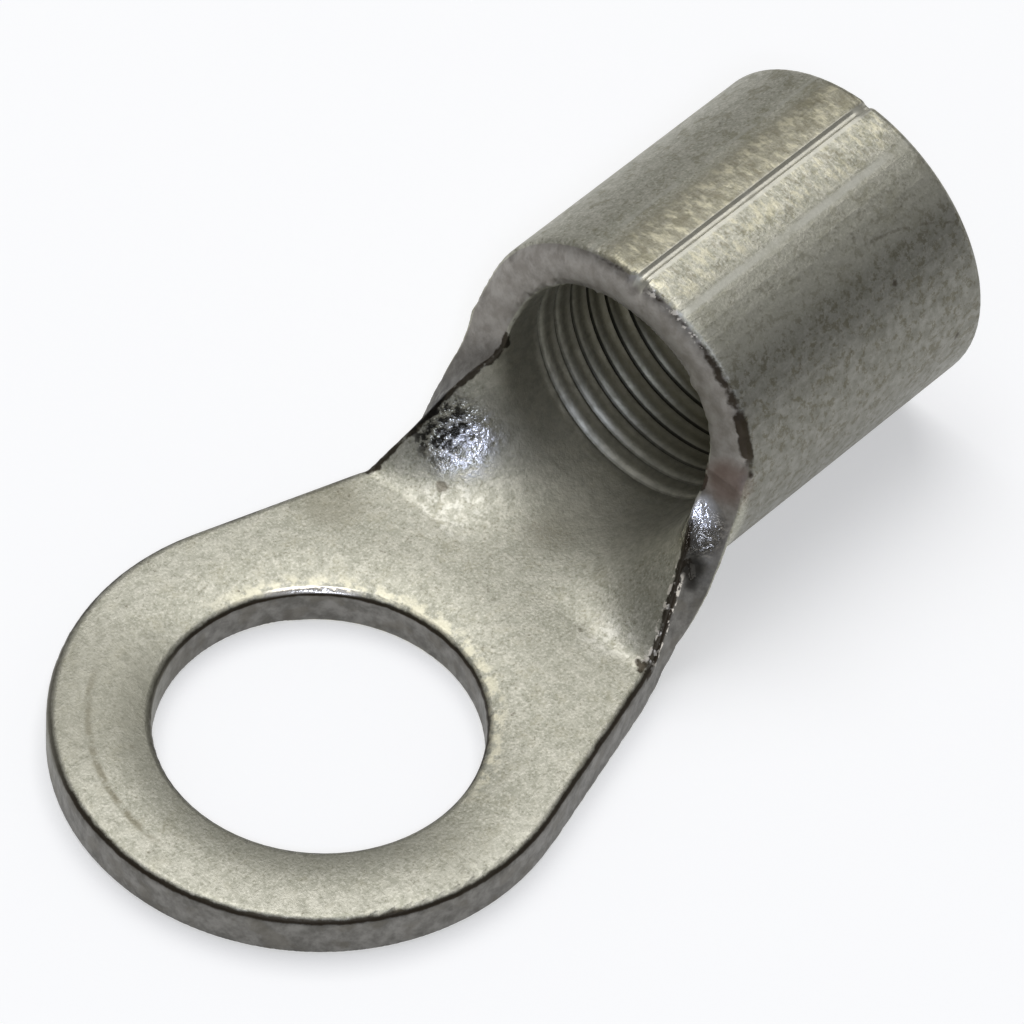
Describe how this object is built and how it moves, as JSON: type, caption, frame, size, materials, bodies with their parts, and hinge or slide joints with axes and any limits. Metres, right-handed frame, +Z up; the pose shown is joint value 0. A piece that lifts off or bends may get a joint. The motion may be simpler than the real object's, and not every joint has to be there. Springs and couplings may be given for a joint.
{
  "type": "ring terminal",
  "caption": "Uninsulated ring cable terminal: flat ring tongue for a stud, rolled and seam-brazed barrel with inner serrations for crimping a stranded conductor.",
  "frame": {"origin": "centre of the stud hole on the underside of the tongue", "axes": "+X along the terminal towards the barrel's wire entry, +Z up out of the tongue, +Y to the left"},
  "size_m": [0.0331, 0.0168, 0.0116],
  "materials": {
    "tinned_copper": "satin, mottled electrotinned copper"
  },
  "bodies": {
    "root": {"ring_terminal": "tinned_copper"}
  },
  "joints": []
}
